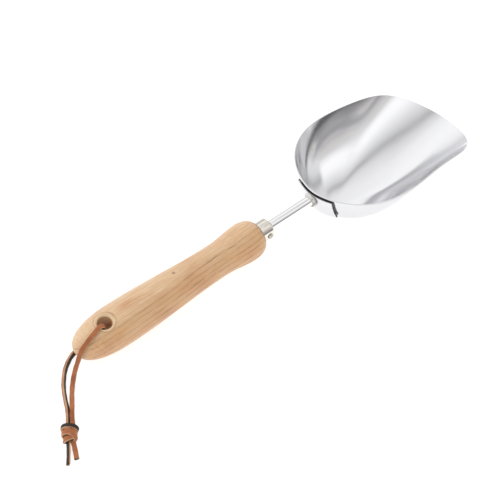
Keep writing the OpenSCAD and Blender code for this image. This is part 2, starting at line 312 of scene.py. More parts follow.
def lace_strip(name, points, roll, first_up=(0, 0, 1), width=LACE_WIDTH, thick=LACE_THICK, cad_nodes=()):
    """A flat lace along a route. roll(share) turns it, in degrees, about its own line."""
    route, along = smooth_route(points)
    heading = np.gradient(route, axis=0)
    heading /= np.linalg.norm(heading, axis=1)[:, None]
    up = np.array(first_up, float)
    section = lace_section(width / 2, thick / 2)
    rings, sides = [], []
    count = len(section)
    for i, (p, t) in enumerate(zip(route, heading)):
        up = up - up.dot(t) * t
        up /= np.linalg.norm(up)
        across = np.cross(t, up)
        a = math.radians(roll(i / (len(route) - 1)))
        u = math.cos(a) * up + math.sin(a) * across
        w = math.cos(a) * across - math.sin(a) * up
        swell = 1 + 0.03 * math.sin(along[i] * 0.9) + 0.02 * math.sin(along[i] * 0.37 + 1)
        rings.append([p + swell * (x * w + y * u) for x, y in section])
    rings = np.array(rings)
    cap_a = rings[0].mean(0)
    cap_b = rings[-1].mean(0)
    points_mm = np.concatenate([rings.reshape(-1, 3), [cap_a, cap_b]])
    rows = len(rings)
    faces = grid_faces(rows, count)
    tip = rows * count
    faces += [(tip, (j + 1) % count, j) for j in range(count)]
    faces += [(tip + 1, (rows - 1) * count + j, (rows - 1) * count + (j + 1) % count) for j in range(count)]
    piece = make_piece(name, points_mm * MM, faces, LEATHER, cad_nodes)
    layer = piece.data.uv_layers.new(name="round")
    steps = np.r_[0, np.cumsum([math.dist(section[j], section[(j + 1) % count]) for j in range(count)])]
    steps /= steps[-1]
    for polygon in piece.data.polygons:
        for loop in polygon.loop_indices:
            v = piece.data.loops[loop].vertex_index
            if v >= tip:
                layer.data[loop].uv = (0.7, 0)
                continue
            j = v % count
            at = steps[j]
            if j == 0 and any(piece.data.loops[k].vertex_index % count == count - 1
                              and piece.data.loops[k].vertex_index < tip for k in polygon.loop_indices):
                at = 1.0
            layer.data[loop].uv = (at, along[v // count] / 100)
    return piece, route, along[-1]


def loop_roll(share):
    """Degrees that the loop leans, at a share of its length from the knot."""
    return np.interp(share, [0, 0.12, 0.3, 0.52, 0.6, 0.75, 0.9, 1], [8, 2, 0, 8, -8, -20, -18, -4])


LONG_TAIL_ROLL = -112
SHORT_TAIL_ROLL = 10
loop, loop_route, loop_length = lace_strip("thong_loop_lace", LOOP, loop_roll, cad_nodes=["thong_loop"])
long_tail, _, long_length = lace_strip("thong_long_tail", LONG_TAIL, lambda share: LONG_TAIL_ROLL,
                                       cad_nodes=["thong_tail_long"])
short_tail, _, short_length = lace_strip("thong_short_tail", SHORT_TAIL, lambda share: SHORT_TAIL_ROLL,
                                         cad_nodes=["thong_tail_short"])
print("lace in the loop", round(loop_length, 1), "mm, tails", round(long_length, 1), round(short_length, 1))

# %% [markdown]
# The knot is an overhand knot tied in both runs at once and pulled tight, so what
# shows is a few turns of flat lace wrapped round the bundle. Each turn is a ring
# of the same lace, leaning its own way, one short run crosses over them, and a
# core stands for the runs inside. They are joined into one piece.

# %% Knot
KNOT_AT = np.array([-208.8, -42.5, 4.4])
KNOT_TURN = math.radians(50.6)
KNOT_ALONG = np.array([math.cos(KNOT_TURN), math.sin(KNOT_TURN), 0])
KNOT_ACROSS = np.array([-math.sin(KNOT_TURN), math.cos(KNOT_TURN), 0])


def knot_turn_of(name, offset, lean, radii, dark, start=0.0, sweep=360, skew=0.0):
    """One turn of lace round the knot, as a closed or open band."""
    points = []
    for a in np.linspace(start, start + sweep, 30):
        r = math.radians(a)
        across, height = radii[0] * math.cos(r), radii[1] * math.sin(r)
        run = offset + lean * math.sin(r) + skew * math.cos(r)
        points.append(KNOT_AT + KNOT_ALONG * run + KNOT_ACROSS * across + np.array([0, 0, height]))
    a = math.radians(start)
    first = np.array([0, 0, 1.0]) * math.sin(a) + KNOT_ACROSS * math.cos(a)
    return lace_strip(name, points, lambda share: 180 if dark else 0, first_up=first,
                      width=3.3, thick=1.7)[0]


knot_parts = [
    knot_turn_of("turn_a", 2.6, 0.4, (4.8, 3.2), True, skew=0.5),
    knot_turn_of("turn_b", -0.6, -0.7, (4.0, 2.9), False, skew=-0.6),
    knot_turn_of("turn_c", -3.2, 1.2, (3.9, 2.7), False, skew=1.3),
    knot_turn_of("turn_d", -5.0, -0.8, (2.6, 1.9), False, skew=-1.2),
    knot_turn_of("turn_e", -2.6, 1.9, (2.2, 3.3), False, start=20, sweep=140, skew=1.9),
]
core_line = [tuple(KNOT_AT + KNOT_ALONG * run) for run in (5.2, 2.5, 0, -2.5, -5.0)]
knot_parts.append(lace_strip("turn_core", core_line, lambda share: 5, width=5.0, thick=3.6)[0])
# the turns that are joined into the first no longer ride on the body themselves
for part in knot_parts[1:]:
    part.parent = None
bpy.ops.object.select_all(action="DESELECT")
for part in knot_parts:
    part.select_set(True)
bpy.context.view_layer.objects.active = knot_parts[0]
bpy.ops.object.join()
knot = knot_parts[0]
knot.name = "thong_knot_turns"
knot.data.name = "thong_knot_turns"
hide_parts("thong_knot")

# %% [markdown]
# Stainless sheet is pressed and then buffed to a mirror. Such a metal has almost
# no colour of its own: what the eye sees is the room, bent by the form. The
# roughness is low, and very shallow waves left by the press and the buffing wheel
# soften the reflections. Wear shows as faint wiping marks, seen in the roughness.

# %% Polished stainless


def polished_stainless(name, tint="#e2e2e4", roughness=0.13, wave=0.04):
    material, tree, shader = new_material(name)
    wipes = add(tree, NOISE, {"Vector": object_mm(tree, (14, 3, 6), (0, 0, 0.5)), "Scale": 1.0,
                              "Detail": 5.0, "Roughness": 0.65})
    waves = add(tree, NOISE, {"Vector": object_mm(tree, (26, 20, 20)), "Scale": 1.0, "Detail": 1.0})
    connect(tree, shader, {
        "Metallic": 1,
        "Base Color": linear(tint),
        "Roughness": add(tree, MAP, (wipes, 0.3, 0.75, roughness * 0.8, roughness * 1.3)),
        "Normal": add(tree, BUMP, {"Height": waves, "Strength": wave, "Distance": 3.0 * MM})})
    return material


STAINLESS = polished_stainless("mirror_polished_stainless")
print("roughness of the buffed sheet is about 0.13")

# %% [markdown]
# The scoop is one pressed sheet. Its floor is a shallow bow from heel to lip, and
# its wall rises round it, steep at the back and fading out at the lip. The form is
# a rule at every angle round the rim, and every share of the way out to it, so it
# is made as two fine skins of points, an inner and an outer one, with a softly
# rounded cut edge between them. A coarse mesh would show facets in a mirror.

# %% The pressed form
BLADE_LENGTH = 134.0
BLADE_WIDTH = 96.0
SHEET = 1.2
BACK_RIM = 5.6
HEEL_DEPTH = 21.8
LIP_DEPTH = 1.7
RIM_ARCH = 10.8
LIP_SLOPE = math.tan(math.radians(15.3))
HEEL_X = 4.3
HUB_X = 26.0
SECTION_POWER = 2.7
WALL_BACK = 0.957
WALL_LIP = 0.62
TROUGH = 0.00016
LIP_X = HEEL_X + BLADE_LENGTH
FLOOR_BOW = (LIP_DEPTH - HEEL_DEPTH + LIP_SLOPE * BLADE_LENGTH) / BLADE_LENGTH ** 2


def rim_share(a):
    return (1 - np.cos(a)) / 2


def rim_point(a):
    t, c = rim_share(a), np.cos(a)
    x = HEEL_X + BLADE_LENGTH * t
    y = (BLADE_WIDTH / 2 * np.sign(np.sin(a)) * np.abs(np.sin(a)) ** 1.13
         * (1 + 0.14 * c + 0.47 * c ** 2 - 0.32 * c ** 3))
    arch = RIM_ARCH * 4 * t * (1 - t) * (1 + 0.66 * t) / 1.33
    return x, y, (1 - t) * BACK_RIM - t * LIP_DEPTH + arch


def floor_height(x, y):
    d = LIP_X - x
    return -LIP_DEPTH - LIP_SLOPE * d + FLOOR_BOW * d ** 2 + TROUGH * y ** 2


def wall_bend(u):
    return 1 - (1 - u ** SECTION_POWER) ** (1 / SECTION_POWER)


def inner_skin(a, r):
    """Point of the scoop's inner skin at angle a, a share r of the way to the rim."""
    rx, ry, rz = rim_point(a)
    x, y = HUB_X + r * (rx - HUB_X), r * ry
    steep = WALL_BACK + (WALL_LIP - WALL_BACK) * rim_share(a)
    rise = wall_bend(steep * r) / wall_bend(steep)
    return np.stack([x, y, floor_height(x, y) + rise * (rz - floor_height(rx, ry))], -1)


def skin_normal(a, r):
    r = np.clip(r, 0.03, 0.998)
    round_the_rim = inner_skin(a + 0.006, r) - inner_skin(a - 0.006, r)
    outward = inner_skin(a, r + 0.001) - inner_skin(a, r - 0.001)
    n = np.cross(round_the_rim, outward)
    return n / np.linalg.norm(n, axis=-1)[..., None]


def under_skin(a, r, depth):
    return inner_skin(a, r) - depth * skin_normal(a, r)


print("rim at mid length is", np.round(laid_down(np.array(rim_point(math.pi / 2))) / MM, 1), "mm")

# %% Scoop


def make_scoop(turns=360, rings=90):
    angle = np.arange(turns) * 2 * math.pi / turns
    share = 1 - (1 - np.arange(1, rings + 1) / rings) ** 1.6
    a, r = np.meshgrid(angle, share)
    inner = inner_skin(a, r)
    outer = under_skin(a, r, SHEET)
    outward = inner_skin(angle, np.full(turns, 0.999)) - inner_skin(angle, np.full(turns, 0.99))
    outward /= np.linalg.norm(outward, axis=-1)[:, None]
    normal = skin_normal(angle, np.full(turns, 1.0))
    middle = inner[-1] - SHEET / 2 * normal
    edge = [middle + SHEET / 2 * math.cos(w) * normal + 0.35 * math.sin(w) * outward
            for w in np.radians([20, 50, 90, 130, 160])]
    rows = np.concatenate([inner, edge, outer[::-1]])
    points = np.concatenate([rows.reshape(-1, 3), [inner_skin(0.0, 0.0)], [under_skin(0.0, 0.0, SHEET)]])
    faces = grid_faces(len(rows), turns)
    hub, belly = len(points) - 2, len(points) - 1
    last = (len(rows) - 1) * turns
    faces += [(hub, j, (j + 1) % turns) for j in range(turns)]
    faces += [(belly, last + (j + 1) % turns, last + j) for j in range(turns)]
    return make_piece("scoop", laid_down(points), faces, STAINLESS, ["scoop_blade"])


make_scoop()

# %% [markdown]
# The saddle is a small plate, rolled to hug the back of the scoop and spot-welded
# to it. Its cut edges were never polished, so they are dull. Their colour is painted
# light and shade: near-black on the side against the scoop, a painted shadow of the
# gap and a painted dark reflection, and pale on the outer side and towards the +Y end,
# a painted highlight. It is made from the same rule as the wall behind it, at two
# depths under the inner skin.

# %% Saddle
SADDLE_IN = SHEET + 0.3
SADDLE_THICK = 2.0
SADDLE_SPAN = math.radians(18)
SADDLE_LOW = 0.8


def edge_painted_shadow_and_highlight():
    material, tree, shader = new_material("steel_edge_painted_shadow_and_highlight")
    # painted shade and highlight: the edge runs from near-black against the scoop, for the shadow in the gap
    # and a dark reflection, to pale on its outer side
    edge_map = add(tree, "ShaderNodeUVMap", uv_map="edge")
    depth = add(tree, "ShaderNodeSeparateXYZ", {"Vector": edge_map}).outputs["Y"]
    streak = add(tree, NOISE, {"Vector": object_mm(tree, (1, 1, 0.3)), "Scale": 1.5, "Detail": 4.0})
    wander = add(tree, MAP, (streak, 0.3, 0.7, -0.07, 0.07))
    across = add(tree, "ShaderNodeSeparateXYZ", {"Vector": object_mm(tree)}).outputs["Y"]
    # painted highlight: the edge is also made lighter towards its +Y end
    painted_highlight_to_plus_y = add(tree, MAP, (across, 4, 17, 0, 0.4))
    uneven = add(tree, MATH, (depth, wander), operation="ADD")
    uneven = add(tree, MATH, (uneven, painted_highlight_to_plus_y), operation="ADD")
    connect(tree, shader, {
        "Metallic": 1,
        "Base Color": add(tree, RAMP, (uneven,), stops=[
            (0.0, "#1c1c1d"), (0.66, "#353536"), (0.84, "#8d8c8a"), (0.98, "#d9d8d6")]),
        "Roughness": 0.42,
        "Normal": add(tree, BUMP, {"Height": streak, "Strength": 0.3, "Distance": 0.2 * MM})})
    return material


def make_saddle(across=72, down=32, levels=6):
    u, v = np.meshgrid(np.linspace(-1, 1, across), np.linspace(0, 1, down), indexing="ij")
    r = 1 - (1 - SADDLE_LOW) * v
    a = SADDLE_SPAN * u / r
    layers = [under_skin(a, r, SADDLE_IN + SADDLE_THICK * k / levels).reshape(-1, 3)
              for k in range(levels + 1)]
    n = across * down
    border = [i * down for i in range(across)]
    border += [(across - 1) * down + j for j in range(1, down)]
    border += [i * down + down - 1 for i in range(across - 2, -1, -1)]
    border += list(range(down - 2, 0, -1))
    count = len(border)
    rings = [layers[k][border] for k in range(1, levels)]
    points = np.concatenate([layers[0], layers[-1]] + rings)
    inside = grid_faces(across, down, closed=False)
    outside = grid_faces(across, down, start=n, closed=False, flip=True)
    rows = [list(border)] + [[2 * n + k * count + j for j in range(count)] for k in range(levels - 1)]
    rows.append([i + n for i in border])
    rim, depths = [], []
    for k in range(levels):
        for j in range(count):
            m = (j + 1) % count
            rim.append((rows[k][j], rows[k][m], rows[k + 1][m], rows[k + 1][j]))
            depths.append((k / levels, k / levels, (k + 1) / levels, (k + 1) / levels))
    piece = make_piece("saddle", laid_down(points), inside + outside + rim, STAINLESS,
                       ["saddle_plate"])
    piece.data.materials.append(edge_painted_shadow_and_highlight())
    first_edge = len(inside) + len(outside)
    layer = piece.data.uv_layers.new(name="edge")
    for polygon in piece.data.polygons:
        if polygon.index < first_edge:
            continue
        polygon.material_index = 1
        for loop_index, depth in zip(polygon.loop_indices, depths[polygon.index - first_edge]):
            layer.data[loop_index].uv = (0.5, depth)
    return piece


def finish_edges(piece, width_mm, angle, segments=3):
    """Breaks a piece's sharp edges with a small bevel, then keeps the plain mesh."""
    bevel = piece.modifiers.new("broken_edge", "BEVEL")
    bevel.width = width_mm * MM
    bevel.segments = segments
    bevel.limit_method = "ANGLE"
    bevel.angle_limit = math.radians(angle)
    graph = bpy.context.evaluated_depsgraph_get()
    mesh = bpy.data.meshes.new_from_object(piece.evaluated_get(graph))
    piece.modifiers.clear()
    piece.data = mesh
    mesh.name = piece.name


finish_edges(make_saddle(), 0.25, angle=50, segments=2)

# %% [markdown]
# The stem is round bar of the same polished stainless as the scoop, its tint painted
# whiter so that its reflections come out brighter, a painted highlight. Its foot is
# cut to meet the saddle, which leans back, and a fillet of weld metal runs round the
# joint. Weld metal cools in ripples, one behind the other, so the bead's surface
# swells and dips round the stem, and heat leaves it a duller grey than the bar.

# %% Stem
FOOT_X = 1.63
FOOT_LEAN = math.radians(10.69)
STEM_RADIUS = 4.0


def on_saddle(clear):
    """Moves a ring's points along X to a plane that is clear mm off the saddle."""
    def cut(ring):
        limit = FOOT_X - clear / math.cos(FOOT_LEAN) - ring[:, 2] * math.tan(FOOT_LEAN)
        ring[:, 0] = np.minimum(ring[:, 0], limit)
        return ring
    return cut


# the bar ends just inside the ferrule, and its foot is drawn long and then cut to lean
INSIDE_FERRULE_X = -STEM_LENGTH - 1.2
PAST_FOOT_X = 6
POLE = 0.01
stem_profile = [(INSIDE_FERRULE_X, POLE), (INSIDE_FERRULE_X, STEM_RADIUS - 0.3),
                (INSIDE_FERRULE_X + 0.3, STEM_RADIUS)]
stem_profile += [(x, STEM_RADIUS) for x in np.linspace(-39, 0, 40)]
stem_profile += [(PAST_FOOT_X, STEM_RADIUS), (PAST_FOOT_X, POLE)]
points, faces = turned(stem_profile, 96, on_saddle(0.3))
# painted highlight: the scoop's stainless with a whiter tint, so the stem's reflections come out brighter
BRIGHTENED_STEM_STEEL = polished_stainless("stem_stainless_painted_brighter", "#fafafa", 0.09, 0.02)
make_piece("stem_bar", laid_down(points), faces, BRIGHTENED_STEM_STEEL, ["stem"], weld=True)

# %% Weld bead


def weld_metal():
    material, tree, shader = new_material("heat_tinted_weld")
    grit = add(tree, NOISE, {"Vector": object_mm(tree), "Scale": 1.6, "Detail": 5.0, "Roughness": 0.6})
    connect(tree, shader, {
        "Metallic": 1,
        "Base Color": add(tree, RAMP, (grit,), stops=[
            (0.25, "#9a9896"), (0.5, "#d2d0cd"), (0.75, "#e6e4e1")]),
        "Roughness": add(tree, MAP, (grit, 0.3, 0.7, 0.16, 0.34)),
        "Normal": add(tree, BUMP, {"Height": grit, "Strength": 0.5, "Distance": 0.3 * MM})})
    return material


BEAD_RADIUS = 5.6
BEAD_REACH = 2.5
BEAD_BACK_X = FOOT_X - 0.2


def make_weld(segments=160, rows=14):
    """A fillet that is BEAD_REACH long on the stem and BEAD_RADIUS wide on the saddle."""
    angle = np.arange(segments) * 2 * math.pi / segments
    ripple = 0.16 * np.sin(angle * 17) + 0.1 * np.sin(angle * 5 + 0.7) + 0.08 * np.sin(angle * 31 + 2)
    inner = STEM_RADIUS + 0.08
    rings = []
    for k in range(rows + 1):
        w = math.pi / 2 * k / rows
        radius = inner + (BEAD_RADIUS - inner + ripple) * (1 - math.cos(w)) ** 0.8
        back = (BEAD_REACH + ripple * 1.6) * (1 - math.sin(w)) ** 1.1
        z = radius * np.cos(angle)
        x = BEAD_BACK_X - back - z * math.tan(FOOT_LEAN)
        rings.append(np.stack([x, radius * np.sin(angle), z], -1))
    z = inner * np.cos(angle)
    rings.append(np.stack([BEAD_BACK_X - z * math.tan(FOOT_LEAN), inner * np.sin(angle), z], -1))
    rows_made = len(rings)
    faces = grid_faces(rows_made, segments)
    faces += [((rows_made - 1) * segments + j, (rows_made - 1) * segments + (j + 1) % segments,
               (j + 1) % segments, j) for j in range(segments)]
    return make_piece("weld_bead", laid_down(np.concatenate(rings)), faces, weld_metal(),
                      ["stem_weld"])


weld = make_weld()

# %% [markdown]
# Each pulse of the torch leaves one small ripple, so the bead is a ring of them.
# Geometry Nodes suit this: a circle is resampled to one point for each ripple, a
# small flattened ball is put on every point with a slightly different size, and
# the ring is then leaned back as the saddle leans. Sizes are named inputs.

# %% Weld ripples


def ripple_tree():
    tree = bpy.data.node_groups.new("weld_ripples", "GeometryNodeTree")
    tree.interface.new_socket("Geometry", in_out="OUTPUT", socket_type="NodeSocketGeometry")
    for name, value in (("Ring Radius", 0.0047), ("Ripple Size", 0.00075)):
        tree.interface.new_socket(name, in_out="INPUT", socket_type="NodeSocketFloat").default_value = value
    tree.interface.new_socket("Count", in_out="INPUT", socket_type="NodeSocketInt").default_value = 26
    tree.interface.new_socket("Place", in_out="INPUT", socket_type="NodeSocketVector")
    tree.interface.new_socket("Lean", in_out="INPUT", socket_type="NodeSocketVector")
    tree.interface.new_socket("Finish", in_out="INPUT", socket_type="NodeSocketMaterial")
    given = add(tree, "NodeGroupInput").outputs
    ring = add(tree, "GeometryNodeCurvePrimitiveCircle", {"Resolution": given["Count"],
                                                          "Radius": given["Ring Radius"]}).outputs["Curve"]
    spots = add(tree, "GeometryNodeCurveToPoints", {"Curve": ring, "Count": given["Count"]})
    size = add(tree, "FunctionNodeRandomValue", {2: 0.8, 3: 1.15, "Seed": 7}, data_type="FLOAT").outputs[1]
    size = add(tree, "ShaderNodeMath", {0: size, 1: given["Ripple Size"]}, operation="MULTIPLY").outputs[0]
    ball = add(tree, "GeometryNodeMeshIcoSphere", {"Radius": 1.0, "Subdivisions": 3}).outputs["Mesh"]
    flat = add(tree, "GeometryNodeTransform",
               {"Geometry": ball, "Scale": (1.0, 1.0, 0.62)}).outputs["Geometry"]
    beads = add(tree, "GeometryNodeInstanceOnPoints",
                {"Points": spots.outputs["Points"], "Instance": flat, "Rotation": spots.outputs["Rotation"],
                 "Scale": size}).outputs["Instances"]
    laid = add(tree, "GeometryNodeTransform", {"Geometry": beads, "Translation": given["Place"],
                                               "Rotation": given["Lean"]}).outputs["Geometry"]
    solid = add(tree, "GeometryNodeRealizeInstances", {"Geometry": laid}).outputs["Geometry"]
    smooth = add(tree, "GeometryNodeSetShadeSmooth", {"Geometry": solid}).outputs[0]
    done = add(tree, "GeometryNodeSetMaterial", {"Geometry": smooth, "Material": given["Finish"]})
    add(tree, "NodeGroupOutput", {"Geometry": done.outputs["Geometry"]})
    return tree


def make_ripples():
    holder = bpy.data.objects.new("ripple_maker", bpy.data.meshes.new("ripple_maker"))
    bpy.context.scene.collection.objects.link(holder)
    maker = holder.modifiers.new("ripples", "NODES")
    maker.node_group = ripple_tree()
    sockets = {item.name: item.identifier for item in maker.node_group.interface.items_tree
               if item.in_out == "INPUT"}
    maker[sockets["Place"]] = tuple(laid_down([FOOT_X - 1.0, 0, 0]))
    maker[sockets["Lean"]] = (0.0, math.pi / 2 + FOOT_LEAN - LIE, 0.0)
    maker[sockets["Finish"]] = weld.data.materials[0]
    graph = bpy.context.evaluated_depsgraph_get()
    mesh = bpy.data.meshes.new_from_object(holder.evaluated_get(graph))
    bpy.data.objects.remove(holder)
    mesh.name = "weld_ripple_ring"
    piece = bpy.data.objects.new("weld_ripple_ring", mesh)
    bpy.context.scene.collection.objects.link(piece)
    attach(piece, "root")
    corners = np.array([v.co for v in mesh.vertices])
    print("ripples span", np.round(corners.min(0) / MM, 1), "to", np.round(corners.max(0) / MM, 1), "mm")


make_ripples()

# %% [markdown]
# The ferrule is a pressed cup of thin steel, nickel-plated, with a rounded front
# and a hole for the stem. It keeps the end of the wood from splitting. A rivet
# goes through ferrule, wood and tang, and its heads were hammered over, so they
# are domed and not quite even.

# %% Ferrule
FERRULE_RADIUS = 7.7


def nickel_plate():
    material, tree, shader = new_material("bright_nickel_plate")
    wipes = add(tree, NOISE, {"Vector": object_mm(tree, (2, 5, 5)), "Scale": 1.0, "Detail": 4.0})
    connect(tree, shader, {
        "Metallic": 1,
        "Base Color": linear("#e8e2d8"),
        "Roughness": add(tree, MAP, (wipes, 0.3, 0.7, 0.1, 0.2)),
        "Normal": add(tree, BUMP, {"Height": wipes, "Strength": 0.06, "Distance": 0.6 * MM})})
    return material


FRONT_X = -STEM_LENGTH
WALL = 0.7
STEM_HOLE = 4.2
ROUNDING = 2
INSIDE_X = FRONT_X - 0.8
ferrule_profile = [(SHOULDER_X + 0.3, FERRULE_RADIUS - WALL), (SHOULDER_X + 0.3, FERRULE_RADIUS - 0.15),
                   (SHOULDER_X + 0.45, FERRULE_RADIUS)]
ferrule_profile += [(x, FERRULE_RADIUS) for x in np.linspace(SHOULDER_X + 0.8, FRONT_X - 2.2, 12)]
ferrule_profile += [(FRONT_X - ROUNDING + ROUNDING * math.sin(w),
                     FERRULE_RADIUS - ROUNDING + ROUNDING * math.cos(w))
                    for w in np.radians(np.arange(0, 91, 7.5))]
ferrule_profile += [(FRONT_X, STEM_HOLE + step) for step in (1.0, 0.5, 0.2)]
ferrule_profile += [(FRONT_X - 0.1, STEM_HOLE + 0.04), (FRONT_X - 0.25, STEM_HOLE), (INSIDE_X, STEM_HOLE)]
# the last points run back along the inside to where the outline began, which closes it
ferrule_profile += [(INSIDE_X, FERRULE_RADIUS - WALL), ferrule_profile[0]]
points, faces = turned(ferrule_profile, 96)
make_piece("ferrule_cap", laid_down(points), faces, nickel_plate(), ["ferrule"], weld=True)

# %% Rivet


def rivet_steel():
    material, tree, shader = new_material("hammered_rivet_steel")
    dents = add(tree, NOISE, {"Vector": object_mm(tree), "Scale": 1.1, "Detail": 3.0})
    connect(tree, shader, {
        "Metallic": 1,
        "Base Color": add(tree, RAMP, (dents,), stops=[(0.3, "#8f8a84"), (0.7, "#d4cfc7")]),
        "Roughness": add(tree, MAP, (dents, 0.3, 0.7, 0.14, 0.3)),
        "Normal": add(tree, BUMP, {"Height": dents, "Strength": 0.5, "Distance": 0.4 * MM})})
    return material


RIVET_X = FRONT_X - 5


def make_rivet(segments=40):
    """Half the rivet as (distance from the tool's axis, radius), made once for each side."""
    profile = [(0, 1.2), (7.75, 1.2), (7.75, 2.05), (7.95, 2.15), (8.15, 2.1), (8.35, 1.9), (8.5, 1.55),
               (8.6, 1.1), (8.66, 0.55), (8.68, POLE)]
    rings = []
    for side in (-1, 1):
        for run, radius in profile if side > 0 else profile[::-1]:
            a = np.arange(segments) * 2 * math.pi / segments
            uneven = 1 + (0.03 * np.sin(3 * a + side) if radius > 1.3 else 0)
            rings.append(np.stack([RIVET_X + radius * uneven * np.cos(a), np.full(segments, side * run),
                                   radius * uneven * np.sin(a)], -1))
    return make_piece("rivet", laid_down(np.concatenate(rings)),
                      grid_faces(len(rings), segments), rivet_steel(), ["ferrule_pin"],
                      weld=True)


make_rivet()

# %% [markdown]
# Ash is pale and ring-porous. The handle is turned from a straight-grained billet,
# so the growth rings run out as long streaks along it: close and dark on the side
# where the lathe cut across them, broad and plain where it ran along them. They
# are made as slices of tilted, slightly bent planes, in object coordinates, so a
# streak is as long as the real one. A thin satin lacquer lies over the wood.

# %% Ash wood
HOLE_X = 23.3
HOLE_TURN = math.radians(11)
HOLE = 10.0
SINK = 14.6
RING_SPACING = 3.7
FINE_RING_SPACING = 1.13
GRAIN_Y, GRAIN_Z, GRAIN_RUN = 0.6, 0.8, -0.032
GRAIN_FROM_X = -130
PIN_KNOT_AT = (-123.2, 0.8, 13.3)


def tool_place(tree):
    """Object coordinates turned back into the tool's own frame, in millimetres."""
    middle = (-MIDDLE_X, 0, AXIS_HEIGHT)
    level = add(tree, "ShaderNodeVectorRotate", {"Vector": object_mm(tree), "Center": middle, "Angle": LIE},
                rotation_type="Y_AXIS")
    return add(tree, VECTOR_MATH, (level, middle), operation="SUBTRACT")


def growth_lines(tree, split, fibre, cloud):
    """How dark the growth rings are at a point, and how near it lies to the side they crowd."""
    bent = add(tree, NOISE, {"Vector": object_mm(tree, (120, 30, 30)), "Scale": 1.0, "Detail": 2.0,
                             "Roughness": 0.4})
    ripple = add(tree, NOISE, {"Vector": object_mm(tree, (16, 5, 5)), "Scale": 1.0, "Detail": 2.0})
    patch = add(tree, NOISE, {"Vector": object_mm(tree, (40, 4, 4)), "Scale": 1.0, "Detail": 2.0})

    # distance through the tilted slices, with their slow bends and small ripples
    depth = add(tree, MATH, (split.outputs["Y"], GRAIN_Y), operation="MULTIPLY")
    height = add(tree, MATH, (split.outputs["Z"], GRAIN_Z), operation="MULTIPLY")
    along = add(tree, MATH, (split.outputs["X"], -GRAIN_FROM_X), operation="ADD")
    along = add(tree, MATH, (along, GRAIN_RUN), operation="MULTIPLY")
    slice_at = add(tree, MATH, (depth, height), operation="ADD")
    for part in (along, add(tree, MAP, (bent, 0.2, 0.8, -3.0, 3.0)),
                 add(tree, MAP, (ripple, 0.2, 0.8, -0.6, 0.6))):
        slice_at = add(tree, MATH, (slice_at, part), operation="ADD")

    # each ring starts dark and fades, and finer false rings lie between some of them
    ring = add(tree, MATH, (slice_at, RING_SPACING), operation="DIVIDE")
    ring = add(tree, MATH, (ring,), operation="FRACT")
    line = add(tree, MATH, (add(tree, MAP, (ring, 0.0, 0.5, 1.0, 0.0)), 3.0), operation="POWER")
    fine = add(tree, MATH, (slice_at, FINE_RING_SPACING), operation="DIVIDE")
    fine = add(tree, MATH, (fine,), operation="FRACT")
    fine = add(tree, MATH, (add(tree, MAP, (fine, 0.0, 0.6, 1.0, 0.0)), 2.0), operation="POWER")
    fine = add(tree, MATH, (fine, 0.38), operation="MULTIPLY")
    fine = add(tree, MATH, (fine, add(tree, MAP, (cloud, 0.42, 0.6, 0.0, 1.0))), operation="MULTIPLY")
    line = add(tree, MATH, (line, fine), operation="MAXIMUM")

    # the lines are broken by the fibres, come and go, and gather on one side
    side = add(tree, MAP, (slice_at, 4.0, 8.5, 1.0, 0.08))
    broken = add(tree, MAP, (fibre, 0.4, 0.58, 0.1, 1.0))
    patchy = add(tree, MAP, (patch, 0.36, 0.6, 0.45, 1.0))
    for share in (broken, patchy, side):
        line = add(tree, MATH, (line, share), operation="MULTIPLY")
    return line, side


def hole_distance(tree, tool):
    """Distance in millimetres from the axis of the hanging hole."""
    hole_at = (BUTT_X + HOLE_X, 0, 0)
    bored = add(tree, "ShaderNodeVectorRotate", {"Vector": tool, "Center": hole_at, "Angle": -HOLE_TURN},
                rotation_type="X_AXIS")
    bored = add(tree, VECTOR_MATH, (bored, hole_at), operation="SUBTRACT")
    bored = add(tree, VECTOR_MATH, (bored, (1, 1, 0)), operation="MULTIPLY")
    return add(tree, VECTOR_MATH, (bored,), operation="LENGTH")


